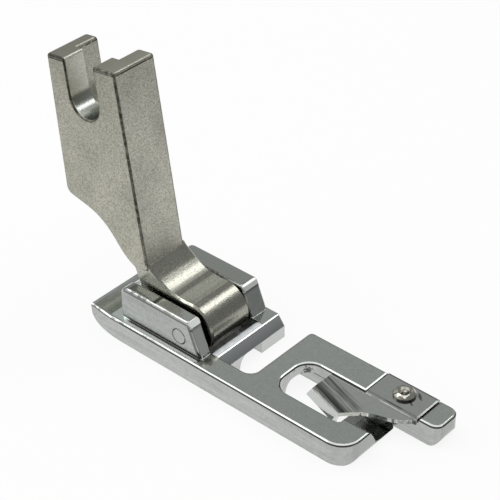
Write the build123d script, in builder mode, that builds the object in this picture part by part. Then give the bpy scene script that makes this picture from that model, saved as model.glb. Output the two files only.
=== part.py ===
"""Hinged narrow-hem presser foot: a shank that rocks on a sole plate, with a sheet-metal hem scroll."""
import os
from math import cos, radians, sin, tan

from build123d import *

# Frame: X to the operator's right, Y to the rear (toes at -Y), Z up.
# The origin is under the middle of the whole foot, level with the sole's underside.
# Reaches to the front and rear are measured from the hinge pin.

# Sole plate
sole_width = 12.0
sole_thick = 2.65
sole_rear = 11.6
rear_lift = 4.8
rear_lip_under = 2.3
rear_lip_top = 3.0
rear_lip_land = 0.35
rear_lip_slope = 2.5
rear_corner = 0.7
left_toe_reach = 23.25
left_toe_corner = 2.4
right_toe_reach = 28.03
right_toe_width = 3.65
right_toe_corner = 1.1
edge_break = 0.2
left_nose_round = 0.8
right_nose_round = 1.3
shelf_corner = 1.2

# Tub around the hinge ears
tub_floor = 2.15
tub_rim = 0.4
tub_ramp_start = 0.75
tub_ramp_run = 1.4
channel_front = 3.65

# Hinge
pin_height = 3.72
pin_dia = 1.8
pin_edge = 0.1
knuckle_width = 5.7
knuckle_offset = 0.25
knuckle_radius = 2.95
knuckle_left_play = 0.3
knuckle_right_play = 0.5
knuckle_edge = 0.2
knuckle_clear = 0.15
pin_running_clear = 0.04
left_ear_thick = 1.7
ear_top = 6.1
ear_rear = 8.5
ear_rear_round = 1.1
ear_front_top = 1.5
ear_front_bottom = 3.05
ear_front_round = 0.6
ear_edge = 0.35

# Cross bar and thread notch
bar_top_front = 4.37
bar_front = 5.25
bar_bevel_foot = 1.45
bar_rear_round = 0.9
notch_front = 8.92
notch_left = 3.35
notch_round = 1.1
plate_corner = 0.6

# Needle opening and hem groove
needle_left = 3.05
needle_rear = 11.42
needle_front = 20.0
needle_round = 1.9
needle_front_round = 0.4
groove_roof = 1.4
groove_left = 1.05
groove_arch = 1.1

# Scoop between the toes
scoop_left = 2.3
scoop_wall_run = 1.1
shelf_thick = 0.5

# Hem scroll, folded from sheet
sheet = 0.45
recess_rear = 19.1
recess_front = 25.6
scroll_gap = 0.08
tab_sink = 0.05
wing_drop = 0.18
bend_run = 0.3
wing_wall_gap = 0.25
lip_left = 0.3
roll_turn = 60.0
roll_rear = 13.3
roll_rear_lean = 30.0
roll_rear_top = 2.78
roll_rear_crest = 0.42
roll_rear_run = 1.7
roll_rear_round = 0.95
roll_rear_wall = 0.1
roll_rear_hook = 20.0
roll_front = 20.9
roll_front_skew = 45.0
roll_front_top = 2.46
roll_front_crest = 1.75
roll_front_run = 0.9
roll_front_round = 0.55
roll_front_wall = 0.5
roll_front_hook = 90.0

# Rivet that holds the scroll
rivet_place = 4.4
rivet_reach = 22.35
rivet_head_dia = 2.4
rivet_head_height = 0.45
rivet_head_round = 0.25
rivet_dish_dia = 1.1
rivet_dish_sink = 0.25
rivet_nub_height = 0.1
rivet_shaft_dia = 1.5
rivet_foot_sink = 0.25

# Shank
shank_lean = 7.0
shank_thick = 5.75
shank_offset = -0.175  # from the knuckle's middle
shank_top = 27.7
shank_front_top = 5.75
shank_front_foot = 5.42
shank_rear_top = 15.6
shank_rear_foot = 16.35
shank_rear_corner_height = 11.5
shank_rear_round = 1.0
shank_edge_round = 0.3
shank_far_round = 0.5
neck_rear = 7.5
cast_foot = 4.95
shoulder_height = 5.75
slot_centre = 10.95
slot_width = 4.1
slot_seat_height = 23.4
slot_channel_extra = 1.0
slot_narrow_depth = 2.65
slot_edge_round = 0.3
heel_reach = 5.8
heel_clear = 0.1

# Derived places
half_width = sole_width / 2
ear_left_inner = knuckle_offset - knuckle_width / 2 - knuckle_left_play
ear_left_outer = ear_left_inner - left_ear_thick
ear_right_inner = knuckle_offset + knuckle_width / 2 + knuckle_right_play
pocket_reach = knuckle_radius + knuckle_clear
right_toe_inner = half_width - right_toe_width
needle_right = right_toe_inner
groove_right = right_toe_inner
recess_floor = sole_thick - sheet - tab_sink
tab_top = recess_floor + sheet
wing_top = tab_top - wing_drop
wing_right = right_toe_inner - wing_wall_gap
knuckle_left = knuckle_offset - knuckle_width / 2
knuckle_right = knuckle_offset + knuckle_width / 2
shank_right = knuckle_offset + shank_offset + shank_thick / 2
lean_cos, lean_sin = cos(radians(shank_lean)), sin(radians(shank_lean))
shank_rear_reach = shank_rear_top * lean_cos + shank_top * lean_sin
pin_place = (right_toe_reach - shank_rear_reach) / 2
seat_y = pin_place + slot_centre * lean_cos + slot_seat_height * lean_sin
seat_z = pin_height - slot_centre * lean_sin + slot_seat_height * lean_cos
skew_tan = tan(radians(roll_front_skew))
rivet_top = tab_top + rivet_head_height + rivet_nub_height


def side_plane(place):
    """Plane across the foot at X = place: local x to the rear of the pin, local y up."""
    return Plane(origin=(place, pin_place, 0), x_dir=(0, 1, 0), z_dir=(1, 0, 0))


def level_plane(height):
    """Level plane: local x to the right, local y to the rear of the pin."""
    return Plane(origin=(0, pin_place, height))


def cross_plane(reach, skew=0, lean=0):
    """Plane that far in front of the pin: local x to the right, local y up, facing the toes."""
    turn, tip = radians(skew), radians(lean)
    facing = (-sin(turn) * cos(tip), -cos(turn) * cos(tip), -sin(tip))
    return Plane(origin=(0, pin_place - reach, 0), x_dir=(cos(turn), -sin(turn), 0), z_dir=facing)


def shank_plane(place):
    """Side plane leaning with the shank from the pin axis: local x to the toes, local y up the shank."""
    return Plane(origin=(place, pin_place, pin_height), x_dir=(0, -lean_cos, lean_sin), z_dir=(-1, 0, 0))


def at_reach(edges, reach):
    """Those edges whose middle is that far in front of the pin."""
    return edges.filter_by_position(Axis.Y, pin_place - reach - 0.01, pin_place - reach + 0.01)


def round_seat(edges, radius):
    """Those edges whose middle is beside the screw seat or along the slot above it."""
    above = seat_z + 0.7 * (shank_top - slot_seat_height)
    beside = edges.filter_by_position(Axis.Y, seat_y - 1.3 * radius, seat_y + 1.3 * radius)
    return beside.filter_by_position(Axis.Z, seat_z - 1.3 * radius, above)


def between(start, end, shares):
    """Points from start to end at the given shares of the way across and up."""
    return [(start[0] + (end[0] - start[0]) * a, start[1] + (end[1] - start[1]) * b) for a, b in shares]


# Hinge ears of the sole, rounded along both sides
ears = []
for start, end in ((ear_left_outer, ear_left_inner), (ear_right_inner, half_width)):
    with BuildPart() as ear:
        with BuildSketch(side_plane(start)) as outline:
            with BuildLine():
                Polyline(
                    (ear_rear, tub_floor / 2),
                    (ear_rear, ear_top),
                    (-ear_front_top, ear_top),
                    (-ear_front_bottom, tub_floor),
                    (-ear_front_bottom, tub_floor / 2),
                    (ear_rear, tub_floor / 2),
                )
            make_face()
            fillet(outline.vertices().group_by(Axis.Y)[-1].sort_by(Axis.X)[-1], radius=ear_rear_round)
            fillet(outline.vertices().group_by(Axis.Y)[-1].sort_by(Axis.X)[0], radius=ear_front_round)
        extrude(amount=end - start)
        for side in (ear.faces().sort_by(Axis.X)[0], ear.faces().sort_by(Axis.X)[-1]):
            fillet(side.edges().sort_by(Axis.Z)[1:], radius=ear_edge)
    ears.append(ear.part)

# Sole plate
with BuildPart() as sole_plate:
    with BuildSketch(side_plane(-half_width)):
        with BuildLine():
            under = Bezier(
                (sole_rear - rear_lift, 0),
                (sole_rear - rear_lift / 3, 0),
                (sole_rear, rear_lip_under / 3),
                (sole_rear, rear_lip_under),
            )
            Polyline(
                under @ 1,
                (sole_rear, rear_lip_top),
                (sole_rear - rear_lip_land, rear_lip_top),
                (sole_rear - rear_lip_land - rear_lip_slope, sole_thick),
                (-right_toe_reach, sole_thick),
                (-right_toe_reach, 0),
                under @ 0,
            )
        make_face()
    extrude(amount=sole_width)

    # plan shape with the two toes
    with BuildSketch(level_plane(0)) as plan:
        with BuildLine():
            shelf_end = RadiusArc(
                (right_toe_inner, -left_toe_reach + shelf_corner),
                (right_toe_inner - shelf_corner, -left_toe_reach),
                shelf_corner,
            )
            Polyline(
                shelf_end @ 1,
                (-half_width, -left_toe_reach),
                (-half_width, sole_rear),
                (half_width, sole_rear),
                (half_width, -right_toe_reach),
                (right_toe_inner, -right_toe_reach),
                shelf_end @ 0,
            )
        make_face()
        fillet(plan.vertices().group_by(Axis.Y)[-1], radius=rear_corner)
        fillet(plan.vertices().group_by(Axis.Y)[0], radius=right_toe_corner)
        fillet(plan.vertices().group_by(Axis.X)[0].sort_by(Axis.Y)[0], radius=left_toe_corner)
    extrude(amount=2 * rear_lip_top, both=True, mode=Mode.INTERSECT)

    # toe noses rounded underneath so that they ride onto the cloth
    for left, right, reach, bend in (
        (-half_width, right_toe_inner, left_toe_reach, left_nose_round),
        (right_toe_inner, half_width, right_toe_reach, right_nose_round),
    ):
        with BuildSketch(side_plane(left)):
            with BuildLine():
                nose = TangentArc((bend - reach, 0), (-reach, bend), tangent=(-1, 0))
                Polyline(nose @ 1, (-reach, 0), nose @ 0)
            make_face()
        extrude(amount=right - left, mode=Mode.SUBTRACT)

    # thread notch, open to the right, with the bevelled bar behind it
    with BuildSketch(side_plane(-notch_left)):
        with BuildLine():
            Polyline(
                (-bar_top_front, sole_thick),
                (-bar_front, bar_bevel_foot),
                (-bar_front, 0),
                (-notch_front, 0),
                (-notch_front, sole_thick),
                (-bar_top_front, sole_thick),
            )
        make_face()
    extrude(amount=sole_width, mode=Mode.SUBTRACT)
    corners = at_reach(sole_plate.edges().filter_by(Axis.Z), notch_front)
    fillet(corners.sort_by(Axis.X)[0], radius=notch_round)
    fillet(corners.sort_by(Axis.X)[-1], radius=plate_corner)

    # needle opening
    with BuildSketch(level_plane(0)) as opening:
        with BuildLine():
            Polyline(
                (-needle_left, -needle_rear),
                (needle_right, -needle_rear),
                (needle_right, -needle_front),
                (-needle_left, -needle_front),
                (-needle_left, -needle_rear),
            )
        make_face()
        fillet(opening.vertices().group_by(Axis.Y)[-1], radius=needle_round)
        fillet(opening.vertices().group_by(Axis.Y)[0].sort_by(Axis.X)[0], radius=needle_front_round)
    extrude(amount=sole_thick, mode=Mode.SUBTRACT)

    # recess for the scroll tab in the right toe
    with BuildSketch(level_plane(recess_floor)):
        with Locations((right_toe_inner, -recess_rear)):
            Rectangle(right_toe_width, recess_front - recess_rear, align=(Align.MIN, Align.MAX))
    extrude(amount=sole_thick, mode=Mode.SUBTRACT)

    # scoop in front of the needle opening
    with BuildSketch(cross_plane(needle_front)):
        with BuildLine():
            wall = ThreePointArc(
                (-scoop_left, sole_thick),
                (-scoop_left + 0.6 * scoop_wall_run, (sole_thick + shelf_thick) / 2),
                (-scoop_left + scoop_wall_run, shelf_thick),
            )
            Polyline(
                wall @ 1,
                (right_toe_inner, shelf_thick),
                (right_toe_inner, sole_thick),
                wall @ 0,
            )
        make_face()
    extrude(amount=left_toe_reach, mode=Mode.SUBTRACT)

    # broken upper edges
    level_faces = sole_plate.faces().filter_by(Axis.Z)
    upper = level_faces.filter_by_position(Axis.Z, sole_thick - 0.01, sole_thick + 0.01)
    toe_end, bar_edge = pin_place - right_toe_reach, pin_place - bar_top_front - edge_break
    chamfer(upper.edges().filter_by_position(Axis.Y, toe_end, bar_edge), length=edge_break)

    # tub behind and beside the ears
    with BuildSketch(side_plane(-half_width + tub_rim)):
        with BuildLine():
            Polyline(
                (sole_rear - tub_ramp_start, rear_lip_top),
                (sole_rear - tub_ramp_start - tub_ramp_run, tub_floor),
                (pocket_reach, tub_floor),
                (pocket_reach, rear_lip_top),
                (sole_rear - tub_ramp_start, rear_lip_top),
            )
        make_face()
    extrude(amount=sole_width - 2 * tub_rim, mode=Mode.SUBTRACT)
    with BuildSketch(level_plane(tub_floor)):
        with Locations((-half_width + tub_rim, pocket_reach)):
            Rectangle(
                ear_left_inner + half_width - tub_rim,
                pocket_reach + channel_front,
                align=(Align.MIN, Align.MAX),
            )
    extrude(amount=sole_thick, mode=Mode.SUBTRACT)

    add(ears)

    # pocket for the knuckle, hem groove and pin bores
    with BuildSketch(level_plane(0)):
        with Locations((ear_left_inner, 0)):
            Rectangle(
                ear_right_inner - ear_left_inner,
                2 * pocket_reach,
                align=(Align.MIN, Align.CENTER),
            )
    extrude(amount=ear_top, mode=Mode.SUBTRACT)
    with BuildSketch(side_plane(ear_left_inner)):
        with BuildLine():
            bar_top, bar_rear = (-pocket_reach - bar_rear_round, sole_thick), -pocket_reach
            TangentArc(bar_top, (bar_rear, sole_thick - bar_rear_round), tangent=(1, 0))
            Polyline((bar_rear, sole_thick - bar_rear_round), (bar_rear, sole_thick), bar_top)
        make_face()
    extrude(amount=ear_right_inner - ear_left_inner, mode=Mode.SUBTRACT)
    with BuildSketch(cross_plane(needle_rear + needle_round)):
        with BuildLine():
            arch = EllipticalCenterArc(
                (-groove_left + groove_arch, 0),
                groove_arch,
                groove_roof,
                start_angle=90,
                arc_size=90,
            )
            Polyline(
                arch @ 1,
                (groove_right, 0),
                (groove_right, groove_roof),
                arch @ 0,
            )
        make_face()
    extrude(amount=-(needle_rear + needle_round + sole_rear), mode=Mode.SUBTRACT)
    with BuildSketch(side_plane(-half_width)):
        with Locations((0, pin_height)):
            Circle(pin_dia / 2)
    extrude(amount=sole_width, mode=Mode.SUBTRACT)

    # rivet hole
    with Locations((rivet_place, pin_place - rivet_reach, recess_floor)):
        Hole(radius=rivet_shaft_dia / 2, depth=sole_thick)

# Hinge pin, pressed into the ears
with BuildPart() as hinge_pin:
    with BuildSketch(side_plane(ear_left_outer)):
        with Locations((0, pin_height)):
            Circle(pin_dia / 2)
    extrude(amount=half_width - ear_left_outer)
    chamfer(hinge_pin.edges().filter_by(GeomType.CIRCLE), length=pin_edge)

# Machined knuckle of the shank, with the crest running up to the shoulder
with BuildPart() as knuckle:
    with BuildSketch(shank_plane(knuckle_right)):
        Circle(knuckle_radius)
        with BuildLine():
            shoulder, crown = (-shank_front_foot, shoulder_height), (0, knuckle_radius)
            crest = Spline(
                shoulder,
                *between(shoulder, crown, ((0.19, 0.36), (0.5, 0.8), (0.72, 0.93))),
                crown,
                tangents=((0.6, -0.8), (1, 0)),
            )
            Polyline(
                crown,
                (0, -knuckle_radius / 2),
                (-heel_reach, -knuckle_radius / 2),
                (-neck_rear, cast_foot),
                (-neck_rear, shoulder_height),
                shoulder,
            )
        make_face()
    extrude(amount=knuckle_width)
    for side in (knuckle.faces().sort_by(Axis.X)[0], knuckle.faces().sort_by(Axis.X)[-1]):
        chamfer(side.edges().filter_by(GeomType.CIRCLE), length=knuckle_edge)

# Shank with its knuckle and heel
with BuildPart() as shank:
    # cast blade
    with BuildSketch(shank_plane(shank_right)) as blade:
        with BuildLine():
            tail, neck = (-shank_rear_foot, shank_rear_corner_height), (-neck_rear, cast_foot)
            belly_shares = ((0.25, 0.12), (0.45, 0.23), (0.7, 0.54), (0.84, 0.81))
            belly = Spline(tail, *between(tail, neck, belly_shares), neck)
            Polyline(
                neck,
                (-shank_front_foot, cast_foot),
                (-shank_front_top, shank_top),
                (-shank_rear_top, shank_top),
                tail,
            )
        make_face()
        fillet(blade.vertices().sort_by(Axis.X)[0], radius=shank_rear_round)
    extrude(amount=shank_thick)
    fillet(shank.faces().sort_by(Axis.X)[-1].edges().sort_by(Axis.Z)[1:], radius=shank_far_round)
    fillet(shank.faces().sort_by(Axis.X)[0].edges().sort_by(Axis.Z)[1:], radius=shank_edge_round)
    fillet(shank.faces().sort_by(Axis.Z)[-1].edges().filter_by(Axis.X), radius=shank_edge_round)

    # screw slot, wider on its right side
    with BuildSketch(shank_plane(shank_right)):
        with Locations((-slot_centre, slot_seat_height)):
            Circle(slot_width / 2)
            Rectangle(slot_width, shank_top, align=(Align.CENTER, Align.MIN))
    extrude(amount=shank_thick, mode=Mode.SUBTRACT)
    with BuildSketch(shank_plane(shank_right)):
        with Locations((-slot_centre, slot_seat_height)):
            Circle(slot_width / 2 + slot_channel_extra)
            Rectangle(slot_width + 2 * slot_channel_extra, shank_top, align=(Align.CENTER, Align.MIN))
    extrude(amount=shank_thick - slot_narrow_depth, mode=Mode.SUBTRACT)
    shank_end = shank.faces().filter_by(Plane(origin=(0, 0, 0), z_dir=(0, lean_sin, lean_cos)))
    mouth = shank_end.edges().filter_by(Axis.X).sort_by(Axis.Y)[1:-1]
    near_rim = round_seat(shank.faces().sort_by(Axis.X)[0].edges(), slot_width / 2)
    far_rim = round_seat(shank.faces().sort_by(Axis.X)[-1].edges(), slot_width / 2 + slot_channel_extra)
    fillet(mouth + near_rim + far_rim, radius=slot_edge_round)

    add(knuckle.part)

    # heel rests just above the tub floor
    with BuildSketch(level_plane(tub_floor + heel_clear)):
        with Locations((knuckle_offset, knuckle_radius * 0.8)):
            Rectangle(2 * knuckle_width, sole_rear, align=(Align.CENTER, Align.MIN))
    extrude(amount=-tub_floor - knuckle_radius, mode=Mode.SUBTRACT)

    # running bore
    with BuildSketch(side_plane(knuckle_left)):
        with Locations((0, pin_height)):
            Circle(pin_dia / 2 + pin_running_clear)
    extrude(amount=knuckle_width, mode=Mode.SUBTRACT)

# Hem scroll
with BuildPart() as hem_scroll:
    # rolled sheet, from the wing over the crest, down its wall and hooked under
    rear_end = (roll_rear, 0, roll_rear_lean, roll_rear_top, roll_rear_crest, roll_rear_run)
    front_end = (roll_front, roll_front_skew, 0, roll_front_top, roll_front_crest, roll_front_run)
    for (reach, skew, lean, top, crest_left, run), bend, wall_length, hook_turn in (
        (rear_end, roll_rear_round, roll_rear_wall, roll_rear_hook),
        (front_end, roll_front_round, roll_front_wall, roll_front_hook),
    ):
        stretch, rise = 1 / cos(radians(skew)), 1 / cos(radians(lean))
        right, meet, crest = wing_right * stretch, (run - crest_left) * stretch, -crest_left * stretch
        high, flat, under = top * rise, wing_top * rise, (wing_top - sheet) * rise
        with BuildSketch(cross_plane(reach, skew, lean)):
            with BuildLine():
                Line((right, flat), (meet, flat))
                Spline((meet, flat), (crest, high), tangents=((-1, 0), (-1, 0)))
                ends = []
                for depth in (0, sheet):
                    fold = JernArc((crest, high - depth), (-1, 0), bend - depth, roll_turn)
                    wall = Line(fold @ 1, fold @ 1 + (fold % 1) * wall_length)
                    hook = JernArc(wall @ 1, wall % 1, bend - depth, hook_turn)
                    ends.append(hook @ 1)
                Line(*ends)
                Spline((crest, high - sheet), (meet, under), tangents=((1, 0), (1, 0)))
                Polyline((meet, under), (right, under), (right, flat))
            make_face()
    loft()

    # tab in the toe recess, bend and front of the wing
    with BuildSketch(cross_plane(recess_rear + scroll_gap)):
        with BuildLine():
            Polyline(
                (wing_right, wing_top),
                (wing_right + bend_run, tab_top),
                (half_width, tab_top),
                (half_width, recess_floor),
                (right_toe_inner, recess_floor),
                (wing_right, wing_top - sheet),
                (wing_right, wing_top),
            )
        make_face()
    extrude(amount=recess_front - recess_rear - 2 * scroll_gap)
    with BuildSketch(level_plane(wing_top - sheet)):
        with BuildLine():
            lip_start = (-lip_left, -roll_front + lip_left * skew_tan)
            lip_end = (wing_right, -recess_front + scroll_gap)
            lip_shares = ((0.09, 0.08), (0.25, 0.255), (0.425, 0.51), (0.66, 0.745), (0.89, 0.87))
            Spline(lip_start, *between(lip_start, lip_end, lip_shares), lip_end)
            Polyline(lip_end, (wing_right, -roll_front - wing_right * skew_tan), lip_start)
        make_face()
    extrude(amount=sheet)

    # rivet hole
    with Locations((rivet_place, pin_place - rivet_reach, tab_top)):
        Hole(radius=rivet_shaft_dia / 2, depth=2 * sheet)

# Rivet
with BuildPart() as scroll_rivet:
    with BuildSketch(cross_plane(rivet_reach)):
        with BuildLine():
            rim, dish = rivet_place + rivet_head_dia / 2, rivet_place + rivet_dish_dia / 2
            head_top = tab_top + rivet_head_height
            Polyline(
                (rivet_place, rivet_foot_sink),
                (rivet_place + rivet_shaft_dia / 2, rivet_foot_sink),
                (rivet_place + rivet_shaft_dia / 2, tab_top),
                (rim, tab_top),
                (rim, head_top - rivet_head_round),
                (rim - rivet_head_round, head_top),
                (dish + rivet_dish_sink / 2, head_top),
                (dish, head_top - rivet_dish_sink),
                (dish - rivet_dish_sink, rivet_top),
                (rivet_place, rivet_top),
                (rivet_place, rivet_foot_sink),
            )
        make_face()
    revolve(axis=Axis((rivet_place, pin_place - rivet_reach, 0), (0, 0, 1)))

os.makedirs("parts", exist_ok=True)
sole_plate.part.label = "sole_plate"
export_step(sole_plate.part, "parts/sole_plate.step")
hinge_pin.part.label = "hinge_pin"
export_step(hinge_pin.part, "parts/hinge_pin.step")
shank.part.label = "shank"
export_step(shank.part, "parts/shank.step")
hem_scroll.part.label = "hem_scroll"
export_step(hem_scroll.part, "parts/hem_scroll.step")
scroll_rivet.part.label = "scroll_rivet"
export_step(scroll_rivet.part, "parts/scroll_rivet.step")
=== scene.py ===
# %% [markdown]
# A hinged narrow-hem foot for a sewing machine: a polished sole with two toes, a rolled hemmer
# riveted to the right toe, and a tall satin shank that tips on a cross pin.
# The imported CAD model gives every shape. This script gives it a camera, a white table, studio
# light and metal finishes, and leaves every CAD node where it is.

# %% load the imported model
import math

import bmesh
import bpy
from mathutils import Matrix, Vector

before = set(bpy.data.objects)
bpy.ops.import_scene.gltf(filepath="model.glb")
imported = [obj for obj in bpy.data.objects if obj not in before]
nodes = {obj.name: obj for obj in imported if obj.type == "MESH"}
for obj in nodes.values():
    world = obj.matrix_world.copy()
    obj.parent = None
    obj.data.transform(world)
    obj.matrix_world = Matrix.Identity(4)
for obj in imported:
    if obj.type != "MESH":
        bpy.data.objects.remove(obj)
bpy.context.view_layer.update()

MM = 0.001

# %% [markdown]
# The camera stands in front and to the left of the foot and looks down on it.
# Its place and turn were solved from straight edges whose directions are known: the sides of the
# sole run along Y, the bar and the pin along X, the ears' corners along Z. A tracking constraint
# would be shorter, but the lens was not pointed exactly at one part, so the three axes are set.

# %% camera
CAMERA_PLACE = Vector((-97.212, -89.742, 110.035)) * MM
PITCH, YAW, ROLL = (math.radians(a) for a in (35.885, 47.721, -0.943))
SENSOR, LENS = 36, 118.352

back = Vector((-math.sin(YAW) * math.cos(PITCH), -math.cos(YAW) * math.cos(PITCH), math.sin(PITCH)))
level = Vector((math.cos(YAW), -math.sin(YAW), 0))
turn = Matrix((level, back.cross(level), back)).transposed() @ Matrix.Rotation(ROLL, 3, "Z")

lens = bpy.data.cameras.new("photo_camera")
lens.sensor_width, lens.lens = SENSOR, LENS
lens.clip_start, lens.clip_end = 0.005, 10
camera = bpy.data.objects.new("photo_camera", lens)
camera.matrix_world = Matrix.Translation(CAMERA_PLACE) @ turn.to_4x4()
bpy.context.collection.objects.link(camera)
bpy.context.scene.camera = camera
bpy.context.scene.view_settings.view_transform = "Standard"
print("camera", lens.lens, "mm lens at", [round(v, 4) for v in camera.location])

# %% [markdown]
# The foot stands on a plain white table. A plane would do, and a one-face grid is just that. It lies a
# hair below the sole, so that the two flat faces never fight over which one is in front.

# %% table top
TABLE_HALF, TABLE_DROP = 0.6, 0.02 * MM

shape = bmesh.new()
bmesh.ops.create_grid(shape, x_segments=1, y_segments=1, size=TABLE_HALF)
bmesh.ops.translate(shape, verts=shape.verts, vec=(0, 0, -TABLE_DROP))
table_mesh = bpy.data.meshes.new("table")
shape.to_mesh(table_mesh)
shape.free()
table = bpy.data.objects.new("table", table_mesh)
bpy.context.collection.objects.link(table)
print("table", 2 * TABLE_HALF, "m square")

# %% [markdown]
# Node trees get long when every node takes three lines, so one helper adds a node, sets its
# properties and fills its inputs. An input that is given a socket is linked, any other is a value.
# The other helpers are the few sums that every finish here needs. Masks run from 0 to 1: fade rises
# smoothly between two values, band is 1 between two values, product keeps what all masks share and
# either joins two.

# %% node and mask helpers
def node(tree, kind, inputs=None, **settings):
    made = tree.nodes.new(kind)
    for name, value in settings.items():
        setattr(made, name, value)
    for name, value in (inputs or {}).items():
        if isinstance(value, bpy.types.NodeSocket):
            tree.links.new(value, made.inputs[name])
        else:
            made.inputs[name].default_value = value
    return made


def maths(tree, operation, a, b=0.0, c=0.0):
    return node(tree, "ShaderNodeMath", {0: a, 1: b, 2: c}, operation=operation).outputs[0]


def product(tree, mask, *others):
    for other in others:
        mask = maths(tree, "MULTIPLY", mask, other)
    return mask


def either(tree, first, second):
    return maths(tree, "MAXIMUM", first, second)


def fade(tree, value, start, end):
    made = node(tree, "ShaderNodeMapRange", {0: value, 1: start, 2: end}, interpolation_type="SMOOTHSTEP")
    return made.outputs[0]


def band(tree, value, low, high, soft):
    return product(tree, fade(tree, value, low - soft, low), fade(tree, value, high + soft, high))


print("mask helpers ready")

# %% [markdown]
# Places and directions are vectors, so they need sums of their own. A colour is written as three
# parts and gets its fourth, the alpha, only where a socket asks for it. A new material starts with a
# Principled shader, which suits every metal here.

# %% vector and colour helpers
def vector(tree, operation, a, b=(0, 0, 0)):
    made = node(tree, "ShaderNodeVectorMath", {0: a, 1: b}, operation=operation)
    return made.outputs["Value" if operation in ("DISTANCE", "LENGTH", "DOT_PRODUCT") else "Vector"]


def axes(tree, arrow):
    return node(tree, "ShaderNodeSeparateXYZ", {0: arrow}).outputs


def rgba(colour):
    return colour if isinstance(colour, bpy.types.NodeSocket) else (*colour, 1)


def blend_colours(tree, share, first, second):
    made = node(tree, "ShaderNodeMix", {0: share, 6: rgba(first), 7: rgba(second)}, data_type="RGBA")
    return made.outputs[2]


def new_material(name):
    material = bpy.data.materials.new(name)
    material.use_nodes = True
    return material.node_tree, material.node_tree.nodes["Principled BSDF"], material


print("colour helpers ready")

# %% [markdown]
# Bare metal has no colour of its own to speak of, so what it mirrors is half of its look: the table
# has to be white for mirrored rays as well as for the camera. More light on it would bleach the
# metal too. Instead its surface mixes a white glow for those rays with a diffuse share that keeps the
# foot's soft shadow. Away from the foot the table's colour and glow fall off to grey, a painted end of
# the light, and under the hinge and the hemmer, where no light gets in, it has no glow.

# %% table finish
TABLE_GLOW = 0.88
LIT_MIDDLE, WHITE_REACH, GREY_REACH = (25 * MM, 28 * MM, 0), 66 * MM, 105 * MM
WHITE, PAPER, FAR_GREY = (1, 1, 1), (0.9, 0.9, 0.9), (0.32, 0.32, 0.32)
# middle and half size in mm of the places that get no light
DARK_PLACES = (((0.35, 4.585, 0), (3.3, 3.2)), ((1.0, -14.9, 0), (1.25, 1.15)))

tree, paper, material = new_material("white_table")
place = node(tree, "ShaderNodeTexCoord").outputs["Object"]
# the table's colour and glow fall off to grey with distance: a painted pool of light
away = fade(tree, vector(tree, "DISTANCE", place, LIT_MIDDLE), WHITE_REACH, GREY_REACH)
tree.links.new(blend_colours(tree, away, PAPER, FAR_GREY), paper.inputs["Base Color"])
paper.inputs["Roughness"].default_value = 0.8
shine = blend_colours(tree, away, WHITE, FAR_GREY)
glow = node(tree, "ShaderNodeEmission", {"Color": shine, "Strength": 1.0})
ray = node(tree, "ShaderNodeLightPath").outputs
seen = either(tree, ray["Is Camera Ray"], ray["Is Glossy Ray"])
seen = either(tree, seen, ray["Is Transmission Ray"])
share = maths(tree, "MULTIPLY", seen, TABLE_GLOW)
for middle, half in DARK_PLACES:
    aside = vector(tree, "ABSOLUTE", vector(tree, "SUBTRACT", place, Vector(middle) * MM))
    aside = axes(tree, aside)
    outside = either(tree, maths(tree, "GREATER_THAN", aside["X"], half[0] * MM),
                     maths(tree, "GREATER_THAN", aside["Y"], half[1] * MM))
    share = product(tree, share, outside)
mixed = node(tree, "ShaderNodeMixShader", {0: share, 1: paper.outputs[0], 2: glow.outputs[0]})
tree.links.new(mixed.outputs[0], tree.nodes["Material Output"].inputs["Surface"])
table_mesh.materials.append(material)
print("finish", material.name)

# %% [markdown]
# A chrome part needs a room to mirror. An even white sky would make every face the same and the
# foot would look like plaster, so the room is grey: lighter low down at the back, darker overhead
# and in front, with one white wall behind on the left. A picture of a room would do as well, but
# four greys and two fades are easier to steer.

# %% room
# height, from 0 at the horizon to 1 overhead, and grey of the room's back
ROOM_TONES = ((0.0, (0.44, 0.44, 0.44)), (0.5, (0.54, 0.56, 0.54)), (0.65, (0.5, 0.52, 0.5)),
              (0.82, (0.36, 0.36, 0.36)))
ROOM_FRONT, WHITE_WALL, WALL_SIDE = (0.29, 0.3, 0.295), (0.94, 0.95, 0.95), (-0.72, 0.69, 0)

room = bpy.data.worlds.new("grey_studio")
room.use_nodes = True
bpy.context.scene.world = room
tree = room.node_tree
looking = node(tree, "ShaderNodeTexCoord").outputs["Generated"]
toward = axes(tree, looking)
rising = node(tree, "ShaderNodeValToRGB", {0: toward["Z"]})
rising.color_ramp.elements.remove(rising.color_ramp.elements[1])
for height, grey in ROOM_TONES:
    stop = rising.color_ramp.elements.new(height) if height else rising.color_ramp.elements[0]
    stop.color = rgba(grey)
tone = blend_colours(tree, fade(tree, toward["Y"], 0.15, -0.4), rising.outputs[0], ROOM_FRONT)
leftward = vector(tree, "DOT_PRODUCT", looking, WALL_SIDE)
wall = product(tree, fade(tree, leftward, 0.45, 0.7), fade(tree, toward["Z"], 0.66, 0.55))
tree.links.new(blend_colours(tree, wall, tone, WHITE_WALL), tree.nodes["Background"].inputs["Color"])
print("room", room.name, len(rising.color_ramp.elements), "greys")

# %% [markdown]
# Three lit panels do the rest: one over the white wall draws the long edges, one high on the right
# draws the bands on the round knuckle, and one straight overhead lights the table. A point lamp
# would give pin-prick highlights, and a studio's soft boxes are broad, so they are area lamps.

# %% light panels
def light_panel(name, azimuth, height, width, depth, radiance, reach=0.35):
    azimuth, height = math.radians(azimuth), math.radians(height)
    level = Vector((math.sin(azimuth), math.cos(azimuth), 0))
    aim = level * math.cos(height) + Vector((0, 0, math.sin(height)))
    lamp = bpy.data.lights.new(name, "AREA")
    lamp.shape, lamp.size, lamp.size_y = "RECTANGLE", width, depth
    lamp.energy = radiance * math.pi * width * depth
    panel = bpy.data.objects.new(name, lamp)
    facing = aim.to_track_quat("Z", "Y").to_matrix().to_4x4()
    panel.matrix_world = Matrix.Translation(aim * reach) @ facing
    bpy.context.collection.objects.link(panel)
    print(name, round(lamp.energy, 3), "W")


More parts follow.
